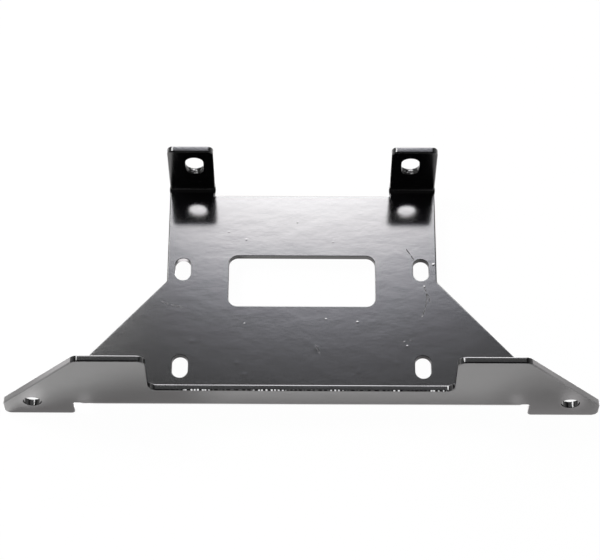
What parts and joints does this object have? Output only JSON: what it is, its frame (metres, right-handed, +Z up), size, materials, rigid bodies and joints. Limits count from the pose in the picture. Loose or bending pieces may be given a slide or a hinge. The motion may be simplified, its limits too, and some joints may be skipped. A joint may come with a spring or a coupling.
{
  "type": "winch mounting plate",
  "caption": "Black-coated folded steel plate with a slotted winch bolt pattern, a window, an upturned winged front flange and upturned slotted rear tabs.",
  "frame": {"origin": "centre of the winch bolt pattern on the plate's top face, where the winch stands", "axes": "+X to the right across the plate, +Y from the winged flange back to the rear tabs, +Z up off the plate"},
  "size_m": [0.407, 0.176, 0.0795],
  "materials": {
    "coated_steel": "gloss black powder coat"
  },
  "bodies": {
    "root": {"mounting_plate": "coated_steel"}
  },
  "joints": []
}
